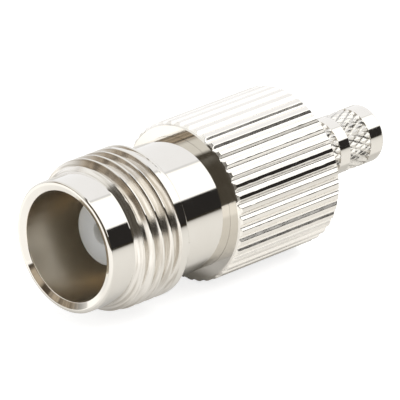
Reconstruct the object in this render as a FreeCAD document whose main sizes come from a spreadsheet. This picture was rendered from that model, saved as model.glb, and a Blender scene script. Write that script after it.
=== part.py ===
import FreeCAD, Part
import math
import os
import Sketcher

# Straight TNC jack for a crimped coaxial cable.
# The axis lies along Y, the mouth is at Y = 0 and opens towards -Y, and Z is up.
# Every size is in millimetres.

os.makedirs("parts", exist_ok=True)
doc = FreeCAD.newDocument("tnc_connector")

# Driving sizes

size = doc.addObject("Spreadsheet::Sheet", "size")

SIZES = [
    ("bore_r", 4.06, "mating bore, radius"),
    ("mouth_land", 0.16, "flat of the mouth rim"),
    ("bore_flare_len", 0.22, "inner chamfer of the mouth, length"),
    ("collar_r", 4.83, "plain collar in front of the thread, radius"),
    ("collar_bevel", 0.12, "outer bevel of the mouth"),
    ("collar_end", 2.20, "end of the plain collar"),
    ("thread_r", 5.55, "thread crest radius, 7/16-28"),
    ("thread_pitch", 0.907, "28 turns an inch"),
    ("thread_end", 6.85, "rear end of the thread"),
    ("thread_rim", 0.10, "chamfer at the rear end of the thread"),
    ("thread_lead", 1.03, "first groove centre at +X, distance in front of the collar's end"),
    ("thread_stop", 0.48, "last groove centre in front of the thread's rear end"),
    ("thread_clear", 0.05, "how far the thread cutter passes the crest"),
    ("neck_r", 4.855, "neck and spigot radius"),
    ("reference_plane", 8.40, "outer contact face inside the bore"),
    ("throat_r", 3.20, "hole behind the contact face, radius"),
    ("throat_len", 1.20, "thickness of the wall behind the contact face"),
    ("seat_r", 3.75, "insulator seat, radius"),
    ("spigot_len", 3.91, "front shell inside the knurled body"),
    ("spigot_bevel", 0.30, "lead-in bevel of the spigot"),
    ("body_front", 11.49, "front face of the knurled body"),
    ("body_len", 10.0, "length of the knurled body"),
    ("tooth_r", 5.90, "knurl tip radius"),
    ("tooth_count", 42, "teeth of the straight knurl"),
    ("tooth_land", 0.26, "width of a tooth tip"),
    ("tooth_angle", 108, "degrees between the two sides of a knurl groove"),
    ("tooth_bevel", 0.26, "bevel over the front tooth ends"),
    ("tail_bevel", 0.16, "bevel over the rear tooth ends"),
    ("tooth_clear", 0.30, "how far the knurl cutter passes the tips"),
    ("knurl_turn", 2.6, "first knurl groove, degrees below +X"),
    ("nose_r", 2.40, "insulator nose, radius"),
    ("nose_len", 4.79, "insulator nose in front of the contact face"),
    ("nose_bevel", 0.10, "bevel of the nose rim"),
    ("entry_r", 0.82, "contact hole in the nose face, radius"),
    ("entry_bevel", 0.18, "lead-in of the contact hole"),
    ("lip_len", 0.80, "thickness of the insulator lip"),
    ("socket_r", 1.08, "outside radius of the contact"),
    ("pin_r", 0.665, "hole for the mating pin, radius"),
    ("socket_depth", 5.2, "depth of the pin hole"),
    ("slot_w", 0.25, "width of the socket slots"),
    ("slot_len", 4.2, "length of the socket slots"),
    ("collet_r", 1.25, "snap collar of the contact, radius"),
    ("collet_set", 0.60, "snap collar behind the insulator stop"),
    ("collet_len", 0.8, "length of the snap collar"),
    ("contact_set", 0.10, "contact's rear end inside the insulator"),
    ("wire_r", 0.50, "hole for the cable's inner wire, radius"),
    ("wire_depth", 3.6, "depth of the wire hole"),
    ("peep_r", 0.30, "sight hole of the wire barrel, radius"),
    ("peep_back", 3.1, "sight hole, distance from the rear end"),
    ("flange_len", 1.20, "thickness of the post's flange"),
    ("shank_r", 2.75, "post inside the knurled body, radius"),
    ("post_r", 2.15, "crimp post, radius"),
    ("post_len", 8.41, "crimp post behind the knurled body"),
    ("post_round", 0.25, "rounding of the post's end"),
    ("post_bore_r", 1.52, "cable bore of the post, radius"),
    ("post_flare", 0.20, "lead-in of the cable bore"),
    ("knurl_root_r", 1.95, "diamond knurl, root radius"),
    ("knurl_count", 24, "diamonds round the post"),
    ("post_tip", 1.40, "plain end behind the rear diamond band"),
    ("band_b_len", 2.10, "rear diamond band, length"),
    ("band_gap", 1.00, "plain stretch between the bands"),
    ("band_a_len", 2.50, "front diamond band, length"),
    ("fit_gap", 0.01, "radial gap drawn at a press fit"),
    ("slide_gap", 0.04, "gap round the contact in the insulator"),
]
for row, (alias, value, note) in enumerate(SIZES, start=1):
    size.set("A%d" % row, alias)
    size.set("B%d" % row, str(value))
    size.setAlias("B%d" % row, alias)
    size.set("C%d" % row, note)
doc.recompute()


def value_of(expression):
    return float(size.evalExpression(expression))


def sheet_form(expression):
    """The same expression, with each size named through the sheet."""
    text = ""
    word = ""
    for letter in expression + " ":
        if letter.isalnum() or letter == "_":
            word += letter
            continue
        if word and word[0].isalpha() and hasattr(size, word):
            word = "size." + word
        text += word + letter
        word = ""
    return text.strip()


def origin_item(body, role):
    return [item for item in body.Origin.OriginFeatures if item.Role == role][0]


def new_body(label):
    body = doc.addObject("PartDesign::Body", label)
    body.Label = label
    return body


def outline_sketch(body, name, corners, plane="XY_Plane"):
    """A closed outline; each corner is a pair of expressions in sheet sizes."""
    sketch = body.newObject("Sketcher::SketchObject", name)
    sketch.AttachmentSupport = (origin_item(body, plane), [""])
    sketch.MapMode = "FlatFace"
    points = []
    for across, along in corners:
        points.append(FreeCAD.Vector(value_of(across), value_of(along), 0))
    count = len(points)
    for index in range(count):
        sketch.addGeometry(Part.LineSegment(points[index], points[(index + 1) % count]), False)
    for index in range(count):
        sketch.addConstraint(Sketcher.Constraint("Coincident", index, 2, (index + 1) % count, 1))
    for index, (across, along) in enumerate(corners):
        if across == "0":
            sketch.addConstraint(Sketcher.Constraint("PointOnObject", index, 1, -2))
        else:
            rule = sketch.addConstraint(
                Sketcher.Constraint("DistanceX", -1, 1, index, 1, points[index].x))
            sketch.setExpression("Constraints[%d]" % rule, sheet_form(across))
        if along == "0":
            sketch.addConstraint(Sketcher.Constraint("PointOnObject", index, 1, -1))
        else:
            rule = sketch.addConstraint(
                Sketcher.Constraint("DistanceY", -1, 1, index, 1, points[index].y))
            sketch.setExpression("Constraints[%d]" % rule, sheet_form(along))
    return sketch


def turned(body, name, corners):
    """A solid of revolution about Y: each corner is (radius, distance from the mouth)."""
    sketch = outline_sketch(body, name + "_outline", corners)
    feature = body.newObject("PartDesign::Revolution", name)
    feature.Profile = sketch
    feature.ReferenceAxis = (sketch, ["V_Axis"])
    feature.Angle = 360
    sketch.Visibility = False
    return feature


# Stations along the axis, each from the mouth

THROAT_END = "(reference_plane + throat_len)"
NOSE_FRONT = "(reference_plane - nose_len)"
LIP_BACK = "(reference_plane - nose_len + lip_len)"
CONTACT_FRONT = "(reference_plane - nose_len + lip_len + slide_gap)"
COLLET_FRONT = "(reference_plane + throat_len + collet_set)"
COLLET_END = "(reference_plane + throat_len + collet_set + collet_len)"
SPIGOT_END = "(body_front + spigot_len)"
CONTACT_END = "(body_front + spigot_len - contact_set)"
FLANGE_END = "(body_front + spigot_len + flange_len)"
BODY_END = "(body_front + body_len)"
POST_END = "(body_front + body_len + post_len)"
BAND_B_END = "(body_front + body_len + post_len - post_tip)"
BAND_B_FRONT = "(body_front + body_len + post_len - post_tip - band_b_len)"
BAND_A_END = "(body_front + body_len + post_len - post_tip - band_b_len - band_gap)"
BAND_A_FRONT = "(body_front + body_len + post_len - post_tip - band_b_len - band_gap - band_a_len)"

# Front shell: mouth, collar, thread, neck and the spigot pressed into the body

front_shell = new_body("front_shell")
turned(front_shell, "shell_turning", [
    ("collar_r - collar_bevel - mouth_land", "0"),
    ("collar_r - collar_bevel", "0"),
    ("collar_r", "collar_bevel"),
    ("collar_r", "collar_end"),
    ("thread_r", "collar_end + thread_r - collar_r"),
    ("thread_r", "thread_end - thread_rim"),
    ("thread_r - thread_rim", "thread_end"),
    ("neck_r", "thread_end"),
    ("neck_r", SPIGOT_END + " - spigot_bevel"),
    ("neck_r - spigot_bevel", SPIGOT_END),
    ("seat_r", SPIGOT_END),
    ("seat_r", THROAT_END),
    ("throat_r", THROAT_END),
    ("throat_r", "reference_plane"),
    ("bore_r", "reference_plane"),
    ("bore_r", "bore_flare_len"),
])

# The groove is a 60 degree form: flat crest of an eighth and flat root of a sixth of the pitch.
THREAD_DEPTH = "(thread_pitch * (1 - 1 / 8 - 1 / 6) / (2 * tan(30 deg)))"
ROOT_HALF = "(thread_pitch / 12)"
MOUTH_HALF = "(thread_pitch * 7 / 16 + thread_clear * tan(30 deg))"
GROOVE_START = "(collar_end - thread_lead)"
groove = outline_sketch(front_shell, "thread_groove", [
    ("thread_r - " + THREAD_DEPTH, GROOVE_START + " - " + ROOT_HALF),
    ("thread_r + thread_clear", GROOVE_START + " - " + MOUTH_HALF),
    ("thread_r + thread_clear", GROOVE_START + " + " + MOUTH_HALF),
    ("thread_r - " + THREAD_DEPTH, GROOVE_START + " + " + ROOT_HALF),
])
thread = front_shell.newObject("PartDesign::SubtractiveHelix", "thread_cut")
thread.Profile = groove
thread.ReferenceAxis = (groove, ["V_Axis"])
thread.Mode = 1
thread.setExpression("Pitch", "size.thread_pitch")
thread.setExpression("Turns", sheet_form(
    "(thread_end - thread_stop - " + GROOVE_START + ") / thread_pitch"))
thread.LeftHanded = False
groove.Visibility = False

# Knurled body: straight knurl, counterbore for the shell, hole for the post

knurled_body = new_body("knurled_body")
turned(knurled_body, "body_turning", [
    ("neck_r + fit_gap", "body_front"),
    ("tooth_r - tooth_bevel", "body_front"),
    ("tooth_r", "body_front + tooth_bevel"),
    ("tooth_r", BODY_END + " - tail_bevel"),
    ("tooth_r - tail_bevel", BODY_END),
    ("shank_r + fit_gap", BODY_END),
    ("shank_r + fit_gap", FLANGE_END),
    ("neck_r + fit_gap", FLANGE_END),
])

# Each groove is a wide V, cut between two tooth tips.
GAP_HALF = "((2 * pi * tooth_r / tooth_count - tooth_land) / 2)"
GAP_SPREAD = "tan(tooth_angle / 2 * 1 deg)"
CUTTER_HALF = "(" + GAP_HALF + " + tooth_clear * " + GAP_SPREAD + ")"
tooth_gap = outline_sketch(knurled_body, "tooth_gap", [
    ("tooth_r - " + GAP_HALF + " / " + GAP_SPREAD, "0"),
    ("tooth_r + tooth_clear", CUTTER_HALF),
    ("tooth_r + tooth_clear", "-" + CUTTER_HALF),
], plane="XZ_Plane")
tooth_gap.AttachmentOffset = FreeCAD.Placement(
    FreeCAD.Vector(0, 0, 0), FreeCAD.Rotation(FreeCAD.Vector(0, 0, 1), -value_of("knurl_turn")))
tooth_gap.setExpression("AttachmentOffset.Rotation.Angle", "-size.knurl_turn * 1 deg")
tooth_cut = knurled_body.newObject("PartDesign::Pocket", "tooth_cut")
tooth_cut.Profile = tooth_gap
tooth_cut.Type = "ThroughAll"
tooth_cut.Midplane = True
tooth_gap.Visibility = False
knurl = knurled_body.newObject("PartDesign::PolarPattern", "straight_knurl")
knurl.Originals = [tooth_cut]
knurl.Axis = (tooth_gap, ["N_Axis"])
knurl.Angle = 360
knurl.setExpression("Occurrences", "size.tooth_count")
knurled_body.Tip = knurl

# Insulator: nose, step behind the contact face, main barrel

insulator = new_body("insulator")
turned(insulator, "insulator_turning", [
    ("entry_r + entry_bevel", NOSE_FRONT),
    ("nose_r - nose_bevel", NOSE_FRONT),
    ("nose_r", NOSE_FRONT + " + nose_bevel"),
    ("nose_r", "reference_plane"),
    ("throat_r - fit_gap", "reference_plane"),
    ("throat_r - fit_gap", THROAT_END),
    ("seat_r - fit_gap", THROAT_END),
    ("seat_r - fit_gap", SPIGOT_END),
    ("socket_r + slide_gap", SPIGOT_END),
    ("socket_r + slide_gap", COLLET_END),
    ("collet_r + slide_gap", COLLET_END),
    ("collet_r + slide_gap", COLLET_FRONT),
    ("socket_r + slide_gap", COLLET_FRONT),
    ("socket_r + slide_gap", LIP_BACK),
    ("entry_r", LIP_BACK),
    ("entry_r", NOSE_FRONT + " + entry_bevel"),
])

# Centre contact: slotted socket, snap collar and wire barrel

centre_contact = new_body("centre_contact")
turned(centre_contact, "contact_turning", [
    ("0", CONTACT_FRONT + " + socket_depth"),
    ("pin_r", CONTACT_FRONT + " + socket_depth"),
    ("pin_r", CONTACT_FRONT),
    ("socket_r", CONTACT_FRONT),
    ("socket_r", COLLET_FRONT),
    ("collet_r", COLLET_FRONT),
    ("socket_r", COLLET_END),
    ("socket_r", CONTACT_END),
    ("wire_r", CONTACT_END),
    ("wire_r", CONTACT_END + " - wire_depth"),
    ("0", CONTACT_END + " - wire_depth"),
])
SLOT_SIDE = "(socket_r + slide_gap)"
slot = outline_sketch(centre_contact, "slot_outline", [
    ("-" + SLOT_SIDE, LIP_BACK),
    (SLOT_SIDE, LIP_BACK),
    (SLOT_SIDE, CONTACT_FRONT + " + slot_len"),
    ("-" + SLOT_SIDE, CONTACT_FRONT + " + slot_len"),
])
slot_cut = centre_contact.newObject("PartDesign::Pocket", "slot_cut")
slot_cut.Profile = slot
slot_cut.Type = "Length"
slot_cut.Midplane = True
slot_cut.setExpression("Length", "size.slot_w")
slot.Visibility = False
slots = centre_contact.newObject("PartDesign::PolarPattern", "slots")
slots.Originals = [slot_cut]
slots.Axis = (slot, ["V_Axis"])
slots.Angle = 90
slots.Occurrences = 2
centre_contact.Tip = slots
peep = centre_contact.newObject("Sketcher::SketchObject", "peep_outline")
peep.AttachmentSupport = (origin_item(centre_contact, "XY_Plane"), [""])
peep.MapMode = "FlatFace"
PEEP_PLACE = CONTACT_END + " - peep_back"
peep_y = value_of(PEEP_PLACE)
peep.addGeometry(
    Part.Circle(FreeCAD.Vector(0, peep_y, 0), FreeCAD.Vector(0, 0, 1), value_of("peep_r")), False)
peep.addConstraint(Sketcher.Constraint("PointOnObject", 0, 3, -2))
rule = peep.addConstraint(Sketcher.Constraint("DistanceY", -1, 1, 0, 3, peep_y))
peep.setExpression("Constraints[%d]" % rule, sheet_form(PEEP_PLACE))
rule = peep.addConstraint(Sketcher.Constraint("Radius", 0, value_of("peep_r")))
peep.setExpression("Constraints[%d]" % rule, "size.peep_r")
peep_cut = centre_contact.newObject("PartDesign::Pocket", "peep_cut")
peep_cut.Profile = peep
peep_cut.Type = "ThroughAll"
peep_cut.Reversed = True
peep.Visibility = False

# Crimp post: flange held in the body, shank, and the knurled tube for the braid

post_blank = new_body("post_blank")
RELIEF_R = "((knurl_root_r + post_bore_r) / 2)"
post_outline = [
    ("0", SPIGOT_END),
    ("neck_r - spigot_bevel", SPIGOT_END),
    ("neck_r", SPIGOT_END + " + spigot_bevel"),
    ("neck_r", FLANGE_END),
    ("shank_r", FLANGE_END),
    ("shank_r", BODY_END),
    ("post_r", BODY_END),
    ("post_r", BAND_A_FRONT),
    (RELIEF_R, BAND_A_FRONT),
    (RELIEF_R, BAND_A_END),
    ("post_r", BAND_A_END),
    ("post_r", BAND_B_FRONT),
    (RELIEF_R, BAND_B_FRONT),
    (RELIEF_R, BAND_B_END),
    ("post_r", BAND_B_END),
]
for angle in (0, 30, 60, 90):
    post_outline.append((
        "post_r - post_round * (1 - cos(%d deg))" % angle,
        POST_END + " - post_round * (1 - sin(%d deg))" % angle))
post_outline.append(("0", POST_END))
turned(post_blank, "post_turning", post_outline)
doc.recompute()


KNURL_SLANT = math.radians(30)


def diamond_band(name, front, end):
    """A plug whose side is a lattice of four-sided points, for one knurled band."""
    columns = 2 * int(round(value_of("knurl_count")))
    tip = value_of("post_r")
    root = value_of("knurl_root_r")
    lattice_step = math.pi * tip / value_of("knurl_count") / math.tan(KNURL_SLANT)
    rows = max(2, int(round((end - front) / lattice_step)))
    points = {}
    for column in range(columns):
        angle = 2 * math.pi * column / columns
        for row in range(rows + 1):
            radius = root if (column + row) % 2 == 0 else tip
            along = front + (end - front) * row / rows
            points[column, row] = FreeCAD.Vector(
                radius * math.cos(angle), along, radius * math.sin(angle))
    faces = []
    for column in range(columns):
        for row in range(rows + 1):
            if (column + row) % 2 == 0:
                continue
            peak = points[column, row]
            left = points[(column - 1) % columns, row]
            right = points[(column + 1) % columns, row]
            neighbours = []
            if row < rows:
                neighbours.append(points[column, row + 1])
            if row > 0:
                neighbours.append(points[column, row - 1])
            for other in neighbours:
                for side in (left, right):
                    faces.append(Part.Face(Part.makePolygon([peak, side, other, peak])))
    for row in (0, rows):
        ring = [points[column, row] for column in range(columns)]
        faces.append(Part.Face(Part.makePolygon(ring + ring[:1])))
    solid = Part.Solid(Part.Shell(faces))
    if solid.Volume < 0:
        solid.reverse()
    band = doc.addObject("Part::Feature", name)
    band.Shape = solid
    return band


band_a = diamond_band("band_a", value_of(BAND_A_FRONT), value_of(BAND_A_END))
band_b = diamond_band("band_b", value_of(BAND_B_FRONT), value_of(BAND_B_END))
post_full = doc.addObject("Part::MultiFuse", "post_full")
post_full.Shapes = [post_blank, band_a, band_b]
cable_hole = new_body("cable_hole")
turned(cable_hole, "hole_turning", [
    ("0", SPIGOT_END + " - post_flare"),
    ("post_bore_r", SPIGOT_END + " - post_flare"),
    ("post_bore_r", POST_END + " - post_flare"),
    ("post_bore_r + 2 * post_flare", POST_END + " + post_flare"),
    ("0", POST_END + " + post_flare"),
])
crimp_post = doc.addObject("Part::Cut", "crimp_post")
crimp_post.Label = "crimp_post"
crimp_post.Base = post_full
crimp_post.Tool = cable_hole
doc.recompute()

# Checks on every object, then one STEP file for each piece

for item in doc.Objects:
    if "Invalid" in item.State or "Error" in item.State:
        raise RuntimeError("%s is in state %s" % (item.Label, item.State))
for item in (front_shell, knurled_body, insulator, centre_contact, crimp_post):
    shape = item.Shape
    if shape.isNull() or not shape.isValid() or len(shape.Solids) != 1:
        raise RuntimeError("%s has no single valid solid" % item.Label)
    shape.exportStep("parts/%s.step" % item.Label)
    box = shape.BoundBox
    print("%-16s volume %8.2f  x %.2f  y %.2f %.2f  faces %d" % (
        item.Label, shape.Volume, box.XMax, box.YMin, box.YMax, len(shape.Faces)))
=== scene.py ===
import math

import bmesh
import bpy
from mathutils import Matrix, Vector, noise


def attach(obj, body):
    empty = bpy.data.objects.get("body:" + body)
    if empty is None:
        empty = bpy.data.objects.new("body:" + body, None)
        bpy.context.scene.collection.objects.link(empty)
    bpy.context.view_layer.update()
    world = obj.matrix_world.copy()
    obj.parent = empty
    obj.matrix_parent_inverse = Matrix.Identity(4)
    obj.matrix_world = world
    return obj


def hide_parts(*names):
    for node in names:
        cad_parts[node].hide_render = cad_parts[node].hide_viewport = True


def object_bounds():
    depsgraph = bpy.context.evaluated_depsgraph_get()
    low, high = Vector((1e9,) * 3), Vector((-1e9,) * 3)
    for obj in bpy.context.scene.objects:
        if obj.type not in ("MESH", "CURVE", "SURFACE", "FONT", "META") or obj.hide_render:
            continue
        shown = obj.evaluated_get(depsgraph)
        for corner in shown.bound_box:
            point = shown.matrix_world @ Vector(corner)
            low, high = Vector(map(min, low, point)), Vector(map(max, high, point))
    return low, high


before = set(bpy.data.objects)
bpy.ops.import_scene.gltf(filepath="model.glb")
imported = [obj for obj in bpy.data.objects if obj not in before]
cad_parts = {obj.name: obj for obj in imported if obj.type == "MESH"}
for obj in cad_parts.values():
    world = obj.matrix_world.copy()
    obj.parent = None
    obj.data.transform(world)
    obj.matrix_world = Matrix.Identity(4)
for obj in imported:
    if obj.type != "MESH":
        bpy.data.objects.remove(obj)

CAD_LOW, CAD_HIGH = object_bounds()
MM = 0.001


def add_object(name, data):
    item = bpy.data.objects.new(name, data)
    bpy.context.scene.collection.objects.link(item)
    return item


# Camera, from the photograph's circles: the axis runs from lower left to upper right

CAMERA_PLACE = Vector((302.5, -284.35, 180.2)) * MM
CAMERA_FORWARD = Vector((-0.65588, 0.64532, -0.3915))
CAMERA_UP = Vector((-0.27908, 0.27463, 0.9201))
FOCAL_PIXELS = 6500
IMAGE_PIXELS = 400
SENSOR_MM = 36


def make_camera():
    data = bpy.data.cameras.new("camera")
    data.sensor_width = SENSOR_MM
    data.lens = FOCAL_PIXELS / IMAGE_PIXELS * SENSOR_MM
    data.clip_start = 0.01
    data.clip_end = 20
    camera = add_object("camera", data)
    back = -CAMERA_FORWARD.normalized()
    right = CAMERA_UP.cross(back).normalized()
    up = back.cross(right)
    turn = Matrix((right, up, back)).transposed()
    camera.matrix_world = Matrix.Translation(CAMERA_PLACE) @ turn.to_4x4()
    bpy.context.scene.camera = camera


make_camera()

# Sizes in millimetres, as in the solids; only the knurls are drawn with softer tips and roots

BORE_R = 4.06
MOUTH_LAND = 0.16
FLARE_LEN = 0.22
COLLAR_R = 4.83
COLLAR_BEVEL = 0.12
COLLAR_END = 2.20
THREAD_R = 5.55
PITCH = 0.907
THREAD_END = 6.85
THREAD_RIM = 0.10
GROOVE_START = COLLAR_END - 1.03
GROOVE_STOP = THREAD_END - 0.48
FLANK_RISE = 1 / math.tan(math.radians(30))
ROOT_HALF = PITCH / 12
THREAD_DEPTH = PITCH * (1 - 1 / 8 - 1 / 6) / 2 * FLANK_RISE
NECK_R = 4.855
REFERENCE_PLANE = 8.40
THROAT_R = 3.20
THROAT_END = 9.60
SEAT_R = 3.75
SPIGOT_END = 15.40
SPIGOT_BEVEL = 0.30
BODY_FRONT = 11.49
BODY_END = 21.49
TOOTH_R = 5.90
TOOTH_COUNT = 42
TOOTH_LAND = 0.32
TOOTH_SLOPE = math.radians(42)
TOOTH_BEVEL = 0.26
TAIL_BEVEL = 0.16
KNURL_TURN = math.radians(2.6)
NOSE_R = 2.40
NOSE_FRONT = 3.61
NOSE_BEVEL = 0.10
ENTRY_R = 0.82
ENTRY_BEVEL = 0.18
LIP_LEN = 0.80
CONTACT_HOLE_R = 1.12
COLLET_HOLE_R = 1.29
COLLET_FRONT = 10.20
COLLET_END = 11.00
FLANGE_END = 16.60
SHANK_R = 2.75
POST_R = 2.15
POST_END = 29.90
POST_ROUND = 0.25
POST_BORE_R = 1.52
POST_FLARE = 0.20
KNURL_ROOT_R = 2.00
KNURL_COUNT = 24
BAND_A = (22.90, 25.40)
BAND_B = (26.40, 28.50)
FIT_GAP = 0.01


# Meshes: a closed section for each angle about the axis, joined all the way round. Weld and sliver
# are in metres

WELD = 2e-7
SLIVER = 1e-7


def ring_mesh(name, angles, section):
    """section(angle) gives the same number of (radius, distance from the mouth) points at each angle."""
    angles = list(angles) + [angles[0] + 2 * math.pi]
    columns = [section(angle) for angle in angles]
    rows = len(columns[0])
    mesh = bmesh.new()
    verts = []
    for angle, points in zip(angles, columns):
        side, up = math.sin(angle), math.cos(angle)
        verts.append([
            mesh.verts.new((radius * side * MM, along * MM, radius * up * MM))
            for radius, along in points])
    for here, there in zip(verts, verts[1:]):
        for row in range(rows):
            after = (row + 1) % rows
            mesh.faces.new((here[row], here[after], there[after], there[row]))
    bmesh.ops.remove_doubles(mesh, verts=mesh.verts, dist=WELD)
    bmesh.ops.dissolve_degenerate(mesh, edges=mesh.edges, dist=SLIVER)
    bmesh.ops.recalc_face_normals(mesh, faces=mesh.faces)
    data = bpy.data.meshes.new(name)
    mesh.to_mesh(data)
    mesh.free()
    return data


def add_piece(name, data, node, material, crease):
    data.shade_smooth()
    data.set_sharp_from_angle(angle=math.radians(crease))
    data.materials.append(material)
    piece = add_object(name, data)
    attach(piece, "root")
    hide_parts(node)


def turns(count, start=0.0):
    return [start + 2 * math.pi * index / count for index in range(count)]


def smooth_step(value, low, high):
    share = min(1, max(0, (value - low) / (high - low)))
    return share * share * (3 - 2 * share)


# Front shell: the thread's groove fades out before the rear rim, as the tool is drawn back

SHELL_COLUMNS = 540
CORNER = 0.02
CORNER_HOLD = 0.012
CONE_STEP = 0.03
CONE_KNOTS = 24
TURNS_LOOKED_AT = 8
NECK_CORNER = 0.03
FLARE_CORNER = 0.03
HOLD_SHARE = 0.07
THREAD_START = math.pi / 2
FADE_FROM = math.radians(-60)
FADE_TO = math.radians(45)


def blank_radius(along):
    """Outside of the shell before its thread is cut."""
    cone = COLLAR_R + along - COLLAR_END
    rim = THREAD_R - max(0, along - (THREAD_END - THREAD_RIM))
    return max(COLLAR_R, min(cone, THREAD_R, rim))


def cut_share(helix_angle):
    """How much of its full depth the groove has here."""
    stop = (GROOVE_STOP - GROOVE_START) / PITCH * 2 * math.pi
    return 1 - smooth_step(helix_angle - stop, FADE_FROM, FADE_TO)


def grooves(angle):
    """Centre and depth of each groove that crosses this side of the shell."""
    found = []
    for turn in range(TURNS_LOOKED_AT):
        helix_angle = angle - THREAD_START + 2 * math.pi * (turn - 1)
        depth = THREAD_DEPTH * cut_share(helix_angle)
        found.append((GROOVE_START + PITCH * helix_angle / (2 * math.pi), depth))
    return found


def thread_column(angle):
    cuts = grooves(angle)

    def radius(along):
        best = blank_radius(along)
        for centre, depth in cuts:
            wall = max(0, abs(along - centre) - ROOT_HALF)
            best = min(best, THREAD_R - depth + wall * FLANK_RISE)
        return best

    knots = [COLLAR_END + CORNER + CONE_STEP * step for step in range(CONE_KNOTS)]
    knots += [THREAD_END - THREAD_RIM - CORNER, THREAD_END - THREAD_RIM + CORNER]
    for centre, depth in cuts:
        edge = ROOT_HALF + depth / FLANK_RISE
        wall = (
            ROOT_HALF + CORNER, ROOT_HALF + CORNER + CORNER_HOLD,
            edge - CORNER - CORNER_HOLD, edge - CORNER)
        for offset in (ROOT_HALF - CORNER, *wall, edge + CORNER):
            knots += [centre - offset, centre + offset]
    start, stop = COLLAR_END + CORNER, THREAD_END - CORNER
    knots = sorted(min(stop, max(start, knot)) for knot in knots)
    return [(radius(knot), knot) for knot in knots]


def shell_section(angle):
    mouth_out = COLLAR_R - COLLAR_BEVEL
    mouth_in = mouth_out - MOUTH_LAND
    points = [
        (mouth_in + CORNER, 0), (mouth_in + CORNER + CORNER_HOLD, 0), (mouth_out - CORNER - CORNER_HOLD, 0),
        (mouth_out - CORNER, 0), (mouth_out + CORNER / 2, CORNER / 2),
        (COLLAR_R - CORNER / 2, COLLAR_BEVEL - CORNER / 2), (COLLAR_R, COLLAR_BEVEL + CORNER),
        (COLLAR_R, COLLAR_BEVEL + CORNER + CORNER_HOLD), (COLLAR_R, COLLAR_END - CORNER - CORNER_HOLD),
        (COLLAR_R, COLLAR_END - CORNER)]
    points += thread_column(angle)
    rim_radius = points[-1][0]
    points += [
        (rim_radius - CORNER, THREAD_END), (NECK_R + NECK_CORNER, THREAD_END),
        (NECK_R, THREAD_END + NECK_CORNER), (NECK_R, THREAD_END + NECK_CORNER + CORNER_HOLD),
        (NECK_R, BODY_FRONT - NECK_CORNER), (NECK_R, SPIGOT_END - SPIGOT_BEVEL),
        (NECK_R - SPIGOT_BEVEL, SPIGOT_END), (SEAT_R, SPIGOT_END), (SEAT_R, THROAT_END),
        (THROAT_R, THROAT_END), (THROAT_R, REFERENCE_PLANE), (BORE_R, REFERENCE_PLANE),
        (BORE_R, FLARE_LEN + FLARE_CORNER + CORNER_HOLD), (BORE_R, FLARE_LEN + FLARE_CORNER)]
    inner = (BORE_R + FLARE_CORNER, FLARE_LEN - FLARE_CORNER / 2)
    outer = (mouth_in - FLARE_CORNER, FLARE_CORNER / 2)
    for share in (0, HOLD_SHARE, 1 - HOLD_SHARE, 1):
        points.append(tuple(here + (there - here) * share for here, there in zip(inner, outer)))
    return points


# Knurled body: rolled teeth with slightly uneven edges

BODY_ROWS = 60
SUPPORT = 0.015
SHOULDER_ROUND = 0.12
ROOT_ROUND = 0.20
ROUND_STEPS = 4
BEVEL_STEPS = 6
NICK = 0.018
NICKS_PER_MM = 2.2
EDGE_SPACING = 3.7
FINE_NICKS = 3
FINE_SHARE = 0.3


def groove_side():
    """Half a knurl groove: (distance from its middle, depth below the tooth tips), root first."""
    half_gap = (2 * math.pi * TOOTH_R / TOOTH_COUNT - TOOTH_LAND) / 2
    depth = half_gap * math.tan(TOOTH_SLOPE)
    tangent = math.tan(TOOTH_SLOPE / 2)
    root_low = depth - ROOT_ROUND * (1 / math.cos(TOOTH_SLOPE) - 1)
    points = []
    for step in range(ROUND_STEPS + 1):
        bend = TOOTH_SLOPE * step / ROUND_STEPS
        points.append((
            ROOT_ROUND * math.sin(bend), root_low - ROOT_ROUND * (1 - math.cos(bend))))
    run, climb = SUPPORT * math.cos(TOOTH_SLOPE), SUPPORT * math.sin(TOOTH_SLOPE)
    points.append((points[-1][0] + run, points[-1][1] - climb))
    shoulder_top = half_gap + SHOULDER_ROUND * tangent
    points.append((
        shoulder_top - SHOULDER_ROUND * math.sin(TOOTH_SLOPE) - run,
        SHOULDER_ROUND * (1 - math.cos(TOOTH_SLOPE)) + climb))
    for step in range(ROUND_STEPS, -1, -1):
        bend = TOOTH_SLOPE * step / ROUND_STEPS
        points.append((
            shoulder_top - SHOULDER_ROUND * math.sin(bend), SHOULDER_ROUND * (1 - math.cos(bend))))
    points.append((shoulder_top + SUPPORT, 0))
    return points


def knurl_angles():
    """The angle and radius of every point round the knurl."""
    side = groove_side()
    across = [(-place, depth) for place, depth in reversed(side)] + side[1:]
    found = []
    for tooth in range(TOOTH_COUNT):
        root = math.pi / 2 + KNURL_TURN + 2 * math.pi * tooth / TOOTH_COUNT
        for place, depth in across:
            found.append((root + place / TOOTH_R, TOOTH_R - depth))
    return found


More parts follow.
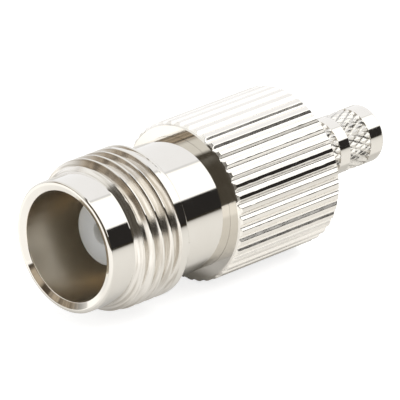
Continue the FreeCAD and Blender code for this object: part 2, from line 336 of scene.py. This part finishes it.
def body_mesh():
    places = knurl_angles()
    half_pitch = math.pi / TOOTH_COUNT
    radius_at = dict(places)
    radius_at[places[0][0] + 2 * math.pi] = places[0][1]
    front, rear = BODY_FRONT, BODY_END
    stations = [front + TOOTH_BEVEL * step / BEVEL_STEPS for step in range(BEVEL_STEPS + 1)]
    middle = [
        front + TOOTH_BEVEL + (rear - front - TOOTH_BEVEL - TAIL_BEVEL) * row / BODY_ROWS
        for row in range(1, BODY_ROWS)]
    tail = [rear - TAIL_BEVEL + TAIL_BEVEL * step / BEVEL_STEPS for step in range(BEVEL_STEPS + 1)]

    def section(angle):
        points = [(NECK_R + FIT_GAP, front)]
        edge = round((angle - math.pi / 2 - KNURL_TURN) / half_pitch - 0.5)
        depth = TOOTH_R - radius_at[angle]
        rough = NICK if 0 < depth < SHOULDER_ROUND else 0
        for along in stations + middle + tail:
            limit = min(
                TOOTH_R - TOOTH_BEVEL + along - front, TOOTH_R - TAIL_BEVEL + rear - along, TOOTH_R)
            spot = Vector((along * NICKS_PER_MM, (edge % (2 * TOOTH_COUNT)) * EDGE_SPACING, 0.5))
            nick = rough * max(0, noise.noise(spot) + FINE_SHARE * noise.noise(spot * FINE_NICKS))
            points.append((min(radius_at[angle] - nick, limit), along))
        points += [
            (SHANK_R + FIT_GAP, rear), (SHANK_R + FIT_GAP, FLANGE_END), (NECK_R + FIT_GAP, FLANGE_END)]
        return points

    return ring_mesh("knurled_body_skin", [angle for angle, _ in places], section)


# Crimp post: flange and shank inside the body, two diamond-knurled bands outside

POST_COLUMNS_PER_DIAMOND = 8
BAND_ROW_STEPS = 4
KNURL_SLANT = math.radians(30)
TIP_FLAT = 0.18
BAND_EDGE = 0.01
BAND_HOLD = 0.03


def diamond_height(column, row):
    """Height from 0 at the groove to 1 at the flat tip; tips stand on odd places of the lattice."""
    nearest_column, nearest_row = math.floor(column), math.floor(row)
    best = 0
    for a in (nearest_column, nearest_column + 1):
        for b in (nearest_row, nearest_row + 1):
            if (a + b) % 2 == 1:
                best = max(best, 1 - abs(column - a) - abs(row - b))
    return min(1, best / (1 - TIP_FLAT))


def band_rows(front, end):
    lattice_step = math.pi * POST_R / KNURL_COUNT / math.tan(KNURL_SLANT)
    return max(2, round((end - front) / lattice_step))


def band_points(front, end, angle):
    rows = band_rows(front, end)
    column = angle / (2 * math.pi) * 2 * KNURL_COUNT
    points = []
    for index in range(rows * BAND_ROW_STEPS + 1):
        row = index / BAND_ROW_STEPS
        height = diamond_height(column, row)
        points.append((
            KNURL_ROOT_R + (POST_R - KNURL_ROOT_R) * height, front + (end - front) * row / rows))
    return points


def post_section(angle):
    points = [
        (POST_BORE_R, SPIGOT_END), (NECK_R - SPIGOT_BEVEL, SPIGOT_END),
        (NECK_R, SPIGOT_END + SPIGOT_BEVEL), (NECK_R, FLANGE_END), (SHANK_R, FLANGE_END),
        (SHANK_R, BODY_END), (POST_R, BODY_END), (POST_R, BAND_A[0] - BAND_HOLD),
        (POST_R, BAND_A[0] - BAND_EDGE)]
    points += band_points(BAND_A[0], BAND_A[1], angle)
    points += [
        (POST_R, BAND_A[1] + BAND_EDGE), (POST_R, BAND_A[1] + BAND_HOLD),
        (POST_R, BAND_B[0] - BAND_HOLD), (POST_R, BAND_B[0] - BAND_EDGE)]
    points += band_points(BAND_B[0], BAND_B[1], angle)
    points += [
        (POST_R, BAND_B[1] + BAND_EDGE), (POST_R, BAND_B[1] + BAND_HOLD),
        (POST_R, POST_END - POST_ROUND - CORNER_HOLD)]
    for degrees in range(0, 91, 15):
        bend = math.radians(degrees)
        points.append((
            POST_R - POST_ROUND * (1 - math.cos(bend)), POST_END - POST_ROUND * (1 - math.sin(bend))))
    points += [(POST_BORE_R + POST_FLARE, POST_END), (POST_BORE_R, POST_END - POST_FLARE)]
    return points


# Insulator

INSULATOR_COLUMNS = 192
BEVEL_BULGE = 0.3


def insulator_section(angle):
    """The same all the way round."""
    seat, throat = SEAT_R - FIT_GAP, THROAT_R - FIT_GAP
    nose_round, entry_round = NOSE_BEVEL * BEVEL_BULGE, ENTRY_BEVEL * BEVEL_BULGE
    return [
        (ENTRY_R + ENTRY_BEVEL, NOSE_FRONT), (NOSE_R - NOSE_BEVEL, NOSE_FRONT),
        (NOSE_R - nose_round, NOSE_FRONT + nose_round), (NOSE_R, NOSE_FRONT + NOSE_BEVEL),
        (NOSE_R, REFERENCE_PLANE), (throat, REFERENCE_PLANE), (throat, THROAT_END), (seat, THROAT_END),
        (seat, SPIGOT_END), (CONTACT_HOLE_R, SPIGOT_END), (CONTACT_HOLE_R, COLLET_END),
        (COLLET_HOLE_R, COLLET_END), (COLLET_HOLE_R, COLLET_FRONT), (CONTACT_HOLE_R, COLLET_FRONT),
        (CONTACT_HOLE_R, NOSE_FRONT + LIP_LEN), (ENTRY_R, NOSE_FRONT + LIP_LEN),
        (ENTRY_R, NOSE_FRONT + ENTRY_BEVEL), (ENTRY_R + entry_round, NOSE_FRONT + entry_round)]


# Materials

NICKEL_PALE = (0.78, 0.755, 0.71)
NICKEL_DEEP = (0.74, 0.71, 0.66)
# Painted light: paler, warmer colours that lighten the bore wall and the knurl grooves; their rougher
# finish is real
BORE_PAINTED_LIGHT = (0.84, 0.76, 0.635, 1)
GROOVE_PAINTED_LIGHT = (0.95, 0.92, 0.87, 1)
DIAMOND_COLOUR = (0.76, 0.735, 0.69, 1)
THREAD_DEEP = (0.60, 0.56, 0.50, 1)
THREAD_PALE = (0.86, 0.83, 0.785, 1)
THREAD_ROUGHNESS = 0.11
TINT_NOISE = (600, 3)
SMEAR_NOISE = (900, 4)
GRAIN_NOISE = (2600, 3)
MARKS_STRETCH = (0.35, 9, 0.35)
MARKS_EDGE = (0.32, 0.62)
SMEAR_EDGE = (0.35, 0.7)
SMEAR_GAIN = 2.2
BUMP_HEIGHT = 0.00001
EDGE_BLUR = 0.01
PTFE_DEEP = (0.68, 0.70, 0.71, 1)
PTFE_PALE = (0.73, 0.75, 0.76, 1)
PTFE_ROUGHNESS = 0.42
PTFE_SUBSURFACE = 0.6
PTFE_DEPTH = 0.0012
PTFE_NOISE = (500, 2)
GOLD_DEEP = (0.86, 0.62, 0.26, 1)
GOLD_PALE = (0.92, 0.70, 0.34, 1)
GOLD_ROUGHNESS = 0.18
GOLD_NOISE = (900, 2)
CREASE = 35
POST_CREASE = 30


def new_material(name):
    material = bpy.data.materials.new(name)
    material.use_nodes = True
    shader = material.node_tree.nodes["Principled BSDF"]
    return material, material.node_tree, shader


def object_place(tree):
    """Place on the piece, in metres."""
    return tree.nodes.new("ShaderNodeTexCoord").outputs["Object"]


def split_place(tree, place):
    split = tree.nodes.new("ShaderNodeSeparateXYZ")
    tree.links.new(place, split.inputs["Vector"])
    return split.outputs["X"], split.outputs["Y"], split.outputs["Z"]


def length_of(tree, place):
    node = tree.nodes.new("ShaderNodeVectorMath")
    node.operation = "LENGTH"
    tree.links.new(place, node.inputs[0])
    return node.outputs["Value"]


def noise_node(tree, scale, detail, stretch=(1, 1, 1)):
    spread = tree.nodes.new("ShaderNodeMapping")
    spread.inputs["Scale"].default_value = stretch
    texture = tree.nodes.new("ShaderNodeTexNoise")
    texture.inputs["Scale"].default_value = scale
    texture.inputs["Detail"].default_value = detail
    tree.links.new(object_place(tree), spread.inputs["Vector"])
    tree.links.new(spread.outputs["Vector"], texture.inputs["Vector"])
    return texture.outputs["Fac"]


def map_range(tree, source, edge, start, stop):
    """Goes smoothly from start to stop as the source crosses the edge, given as (low, high)."""
    node = tree.nodes.new("ShaderNodeMapRange")
    node.interpolation_type = "SMOOTHSTEP"
    node.inputs["From Min"].default_value = edge[0]
    node.inputs["From Max"].default_value = edge[1]
    node.inputs["To Min"].default_value = start
    node.inputs["To Max"].default_value = stop
    tree.links.new(source, node.inputs["Value"])
    return node.outputs["Result"]


def rise(tree, source, edge):
    return map_range(tree, source, edge, 0, 1)


def fall(tree, source, edge):
    return map_range(tree, source, edge, 1, 0)


def mix_colour(tree, share, first, second):
    """first where share is 0, second where it is 1; each is a colour or a socket."""
    node = tree.nodes.new("ShaderNodeMix")
    node.data_type = "RGBA"
    for name, value in (("A", first), ("B", second)):
        if isinstance(value, tuple):
            node.inputs[name].default_value = value
        else:
            tree.links.new(value, node.inputs[name])
    tree.links.new(share, node.inputs["Factor"])
    return node.outputs["Result"]


def math_node(tree, kind, first, second):
    node = tree.nodes.new("ShaderNodeMath")
    node.operation = kind
    for socket, value in zip(node.inputs, (first, second)):
        if isinstance(value, (int, float)):
            socket.default_value = value
        else:
            tree.links.new(value, socket)
    return node.outputs["Value"]


def radius_share(tree, radius):
    """1 nearer to the axis than this radius, 0 farther out."""
    across = tree.nodes.new("ShaderNodeVectorMath")
    across.operation = "MULTIPLY"
    across.inputs[1].default_value = (1, 0, 1)
    tree.links.new(object_place(tree), across.inputs[0])
    edge = ((radius - EDGE_BLUR) * MM, (radius + EDGE_BLUR) * MM)
    return fall(tree, length_of(tree, across.outputs["Vector"]), edge)


def behind_share(tree, start):
    """1 behind this distance from the mouth, 0 in front of it."""
    along = split_place(tree, object_place(tree))[1]
    return rise(tree, along, ((start - EDGE_BLUR) * MM, (start + EDGE_BLUR) * MM))


def scaled(colour, factor):
    return tuple(factor * part for part in colour) + (1,)


def nickel(
        name, roughness, grain, painted_light_gain, dull_r, dull_colour, dull_roughness, dull_run=None, cut_ring=None):
    """Bright plate, whose colour the gain scales up as painted light; duller within dull_r, with its own
    colour there, which is painted light in the bore and the knurl grooves; tool marks between the two radii
    of cut_ring.
    """
    material, tree, shader = new_material(name)
    shader.inputs["Metallic"].default_value = 1
    tint = noise_node(tree, *TINT_NOISE)
    colour = mix_colour(tree, tint, scaled(NICKEL_DEEP, painted_light_gain), scaled(NICKEL_PALE, painted_light_gain))
    smear = noise_node(tree, *SMEAR_NOISE)
    finish = map_range(tree, smear, SMEAR_EDGE, roughness, roughness * SMEAR_GAIN)
    dull = radius_share(tree, dull_r)
    if dull_run:
        front, rear = dull_run
        between = math_node(tree, "SUBTRACT", behind_share(tree, front), behind_share(tree, rear))
        dull = math_node(tree, "MULTIPLY", dull, between)
    colour = mix_colour(tree, dull, colour, dull_colour)
    finish = math_node(tree, "ADD", finish, math_node(tree, "MULTIPLY", dull, dull_roughness))
    if cut_ring:
        inner, outer = cut_ring
        flanks = math_node(tree, "SUBTRACT", radius_share(tree, outer), radius_share(tree, inner))
        marks = noise_node(tree, *SMEAR_NOISE, MARKS_STRETCH)
        marked = mix_colour(tree, rise(tree, marks, MARKS_EDGE), THREAD_DEEP, THREAD_PALE)
        colour = mix_colour(tree, flanks, colour, marked)
        finish = math_node(tree, "ADD", finish, math_node(tree, "MULTIPLY", flanks, THREAD_ROUGHNESS))
    tree.links.new(colour, shader.inputs["Base Color"])
    tree.links.new(finish, shader.inputs["Roughness"])
    fine = noise_node(tree, *GRAIN_NOISE)
    bump = tree.nodes.new("ShaderNodeBump")
    bump.inputs["Strength"].default_value = grain
    bump.inputs["Distance"].default_value = BUMP_HEIGHT
    tree.links.new(fine, bump.inputs["Height"])
    tree.links.new(bump.outputs["Normal"], shader.inputs["Normal"])
    return material


def ptfe(name):
    material, tree, shader = new_material(name)
    shader.inputs["Roughness"].default_value = PTFE_ROUGHNESS
    shader.inputs["Subsurface Weight"].default_value = PTFE_SUBSURFACE
    shader.inputs["Subsurface Radius"].default_value = (PTFE_DEPTH,) * 3
    shader.inputs["Subsurface Scale"].default_value = 1
    cloud = noise_node(tree, *PTFE_NOISE)
    tree.links.new(mix_colour(tree, cloud, PTFE_DEEP, PTFE_PALE), shader.inputs["Base Color"])
    return material


def gold(name):
    material, tree, shader = new_material(name)
    shader.inputs["Metallic"].default_value = 1
    shader.inputs["Roughness"].default_value = GOLD_ROUGHNESS
    tint = noise_node(tree, *GOLD_NOISE)
    tree.links.new(mix_colour(tree, tint, GOLD_DEEP, GOLD_PALE), shader.inputs["Base Color"])
    return material


# Painted light: the body's and post's nickel are paler copies of the shell's, scaled up by the gain
SHELL_NICKEL = nickel(
    "shell_nickel", roughness=0.035, grain=0.05, painted_light_gain=1.0,
    dull_r=BORE_R + 0.02, dull_colour=BORE_PAINTED_LIGHT, dull_roughness=0.26,
    cut_ring=(COLLAR_R + 0.06, THREAD_R - 0.04))
BODY_NICKEL = nickel(
    "body_nickel", roughness=0.05, grain=0.1, painted_light_gain=1.08,
    dull_r=TOOTH_R - 0.03, dull_colour=GROOVE_PAINTED_LIGHT, dull_roughness=0.20,
    dull_run=(BODY_FRONT + 0.1, BODY_END - 0.05))
POST_NICKEL = nickel(
    "post_nickel", roughness=0.05, grain=0.08, painted_light_gain=1.06,
    dull_r=POST_R - 0.008, dull_colour=DIAMOND_COLOUR, dull_roughness=0.17)

add_piece(
    "front_shell_skin", ring_mesh("front_shell_skin", turns(SHELL_COLUMNS, THREAD_START), shell_section),
    "front_shell", SHELL_NICKEL, CREASE)
add_piece("knurled_body_skin", body_mesh(), "knurled_body", BODY_NICKEL, CREASE)
add_piece(
    "crimp_post_skin",
    ring_mesh("crimp_post_skin", turns(KNURL_COUNT * POST_COLUMNS_PER_DIAMOND), post_section),
    "crimp_post", POST_NICKEL, POST_CREASE)
add_piece(
    "insulator_skin", ring_mesh("insulator_skin", turns(INSULATOR_COLUMNS), insulator_section),
    "insulator", ptfe("insulator_white"), CREASE)
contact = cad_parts["centre_contact"]
contact.data.materials.clear()
contact.data.materials.append(gold("contact_gold"))

# Floor: white to the eye; metal sees a grey floor with painted shade far off to the right, painted light to
# the left and in front, and a painted shadow under the body. Edges are in metres

FLOOR_HALF = 2.0
FLOOR_COLOUR = (0.45, 0.45, 0.45, 1)
FLOOR_GLOW = 0.75
NEAR_FLOOR = (0.56, 0.55, 0.525, 1)
# Painted shade: the floor far off to the right turns dark, as metal sees it
FAR_FLOOR_PAINTED_SHADE = (0.03, 0.026, 0.018, 1)
# Painted light: the floor's glow, as metal sees it
PAINTED_FLOOR_LIGHT_IN_METAL = 0.30
FAR_DISTANCE = (0, 0.23)
FAR_RIGHT = (-0.03, 0.03)
FAR_REAR = (-0.02, 0.01)
# Edges and gain of the painted light to the left
LEFT_FLOOR = (-0.010, -0.004)
LEFT_PAINTED_LIGHT_GAIN = 1.4
# Edges of the painted shadow under the body
BODY_SHADOW_REAR = (0.0085, 0.0105)
BODY_SHADOW_RIGHT = (0.0028, 0.0042)
# Edges and gain of the painted light in front
FRONT_FLOOR = (-0.006, -0.001)
FRONT_PAINTED_LIGHT_GAIN = 0.8
WHITE = (1, 1, 1, 1)


def painted_floor_light_for_metal(tree, right, rear, far):
    """Painted light on the floor as metal sees it, brighter in front of the connector and to its left, and
    darker under the body as a painted shadow.
    """
    left = fall(tree, right, LEFT_FLOOR)
    # Painted shadow under the body
    painted_body_shadow = math_node(
        tree, "MULTIPLY", rise(tree, rear, BODY_SHADOW_REAR), fall(tree, right, BODY_SHADOW_RIGHT))
    front = fall(tree, rear, FRONT_FLOOR)
    painted_light_share = math_node(tree, "MAXIMUM", math_node(tree, "MULTIPLY", left, LEFT_PAINTED_LIGHT_GAIN), 1.0)
    painted_light_share = math_node(tree, "SUBTRACT", painted_light_share, painted_body_shadow)
    painted_light_share = math_node(tree, "ADD", painted_light_share, math_node(tree, "MULTIPLY", front, FRONT_PAINTED_LIGHT_GAIN))
    near_glow = map_range(tree, far, (0, 1), PAINTED_FLOOR_LIGHT_IN_METAL, 0)
    return math_node(tree, "MULTIPLY", near_glow, painted_light_share)


def make_floor():
    data = bpy.data.meshes.new("floor")
    low = CAD_LOW.z
    corners = [
        (-FLOOR_HALF, -FLOOR_HALF, low), (FLOOR_HALF, -FLOOR_HALF, low),
        (FLOOR_HALF, FLOOR_HALF, low), (-FLOOR_HALF, FLOOR_HALF, low)]
    data.from_pydata(corners, [], [(0, 1, 2, 3)])
    floor = add_object("floor", data)
    material = bpy.data.materials.new("floor_white")
    material.use_nodes = True
    tree = material.node_tree
    tree.nodes.clear()
    output = tree.nodes.new("ShaderNodeOutputMaterial")
    matte = tree.nodes.new("ShaderNodeBsdfDiffuse")
    place = object_place(tree)
    right, rear = split_place(tree, place)[:2]
    # Share of the painted shade far off to the right
    far = math_node(
        tree, "MULTIPLY", rise(tree, length_of(tree, place), FAR_DISTANCE), rise(tree, right, FAR_RIGHT))
    far = math_node(tree, "MULTIPLY", far, rise(tree, rear, FAR_REAR))
    path = tree.nodes.new("ShaderNodeLightPath")
    to_metal, to_eye = path.outputs["Is Glossy Ray"], path.outputs["Is Camera Ray"]
    seen_in_metal = mix_colour(tree, far, NEAR_FLOOR, FAR_FLOOR_PAINTED_SHADE)
    tree.links.new(mix_colour(tree, to_metal, FLOOR_COLOUR, seen_in_metal), matte.inputs["Color"])
    metal_glow = math_node(tree, "MULTIPLY", to_metal, painted_floor_light_for_metal(tree, right, rear, far))
    eye_glow = math_node(tree, "MULTIPLY", to_eye, FLOOR_GLOW)
    glow = tree.nodes.new("ShaderNodeEmission")
    glow.inputs["Color"].default_value = WHITE
    tree.links.new(math_node(tree, "ADD", metal_glow, eye_glow), glow.inputs["Strength"])
    both = tree.nodes.new("ShaderNodeAddShader")
    tree.links.new(matte.outputs["BSDF"], both.inputs[0])
    tree.links.new(glow.outputs["Emission"], both.inputs[1])
    tree.links.new(both.outputs["Shader"], output.inputs["Surface"])
    data.materials.append(material)


# World: edges are parts of a unit direction, or slopes on a level ceiling for the softbox

MATTE_ROOM = (0.95, 0.95, 0.95, 1)
SOFTBOX_COLOUR = (1.5, 1.5, 1.48, 1)
LOWEST_CEILING = 0.02
SOFTBOX_LEFT = (0.01, 0.11)
SOFTBOX_RIGHT = (1.45, 1.65)
SOFTBOX_FRONT = (-0.9, -0.55)
WIDER_FRONT = (0.4, 0.6)
WIDER_BY = 0.9
DARK_FRONT = (0.085, 0.075, 0.06, 1)
DARK_REAR = (0.026, 0.024, 0.023, 1)
DARK_EDGE = (-0.4, 0.3)
CLUTTER_SCALE = 9
CLUTTER_DETAIL = 4
CLUTTER_EDGE = (0.4, 0.6)
CLUTTER_DEEP = (0.09, 0.07, 0.05, 1)
CLUTTER_PALE = (0.56, 0.47, 0.36, 1)
FRONT_WALL = (-0.93, -0.86)
LEFT_OPENING = (-1.0, -0.72)
LEFT_OPENING_UP = (0.40, 0.6)
LEFT_FRONT_COLOUR = (1.0, 1.0, 0.98, 1)
LEFT_COLOUR = (1.10, 1.11, 1.14, 1)
LEFT_EDGE = (-0.55, 0.2)
SIDES_SLANT = 0.25
SIDES_EDGE = (-0.02, 0.10)


def softbox_share(tree, right, rear, up):
    height = math_node(tree, "MAXIMUM", up, LOWEST_CEILING)
    ceiling_right = math_node(tree, "DIVIDE", right, height)
    ceiling_rear = math_node(tree, "DIVIDE", rear, height)
    right_edge = math_node(
        tree, "SUBTRACT", ceiling_right, map_range(tree, rear, WIDER_FRONT, WIDER_BY, 0))
    softbox = math_node(
        tree, "MULTIPLY", rise(tree, ceiling_right, SOFTBOX_LEFT), fall(tree, right_edge, SOFTBOX_RIGHT))
    softbox = math_node(tree, "MULTIPLY", softbox, rise(tree, ceiling_rear, SOFTBOX_FRONT))
    return math_node(tree, "MULTIPLY", softbox, math_node(tree, "GREATER_THAN", up, 0.0))


def make_world():
    """A plain white room for the eye and for matte light; metal also sees its dark and bright sides."""
    world = bpy.data.worlds.new("studio")
    bpy.context.scene.world = world
    world.use_nodes = True
    tree = world.node_tree
    tree.nodes.clear()
    place = tree.nodes.new("ShaderNodeTexCoord").outputs["Generated"]
    right, rear, up = split_place(tree, place)

    clutter = tree.nodes.new("ShaderNodeTexNoise")
    clutter.inputs["Scale"].default_value = CLUTTER_SCALE
    clutter.inputs["Detail"].default_value = CLUTTER_DETAIL
    tree.links.new(place, clutter.inputs["Vector"])
    patches = rise(tree, clutter.outputs["Fac"], CLUTTER_EDGE)
    front_wall = mix_colour(tree, patches, CLUTTER_DEEP, CLUTTER_PALE)

    dark_side = mix_colour(tree, rise(tree, rear, DARK_EDGE), DARK_FRONT, DARK_REAR)
    dark_side = mix_colour(tree, fall(tree, rear, FRONT_WALL), dark_side, front_wall)
    left_open = math_node(
        tree, "MAXIMUM", fall(tree, right, LEFT_OPENING), rise(tree, up, LEFT_OPENING_UP))
    left_front = mix_colour(tree, left_open, front_wall, LEFT_FRONT_COLOUR)
    left_side = mix_colour(tree, rise(tree, rear, LEFT_EDGE), left_front, LEFT_COLOUR)
    slant = math_node(tree, "MULTIPLY", math_node(tree, "MINIMUM", rear, 0.0), SIDES_SLANT)
    leftwards = math_node(tree, "SUBTRACT", right, slant)
    walls = mix_colour(tree, fall(tree, leftwards, SIDES_EDGE), dark_side, left_side)
    room = mix_colour(tree, softbox_share(tree, right, rear, up), walls, SOFTBOX_COLOUR)

    path = tree.nodes.new("ShaderNodeLightPath")
    colour = mix_colour(tree, path.outputs["Is Glossy Ray"], MATTE_ROOM, room)
    sight = mix_colour(tree, path.outputs["Is Camera Ray"], colour, WHITE)
    background = tree.nodes.new("ShaderNodeBackground")
    output = tree.nodes.new("ShaderNodeOutputWorld")
    tree.links.new(sight, background.inputs["Color"])
    tree.links.new(background.outputs["Background"], output.inputs["Surface"])


LAMP_SIDE = 0.35
LAMP_WATTS = 1.2
LAMP_PLACE = (0.18, 0.20, 0.40)


def make_lamp():
    data = bpy.data.lights.new("softbox", "AREA")
    data.shape = "RECTANGLE"
    data.size = LAMP_SIDE
    data.size_y = LAMP_SIDE
    data.energy = LAMP_WATTS
    lamp = add_object("softbox", data)
    lamp.location = LAMP_PLACE
    lamp.rotation_mode = "QUATERNION"
    lamp.rotation_quaternion = (-lamp.location).to_track_quat("-Z", "Y")
    lamp.visible_glossy = False


make_floor()
make_world()
make_lamp()
bpy.context.scene.view_settings.view_transform = "Standard"
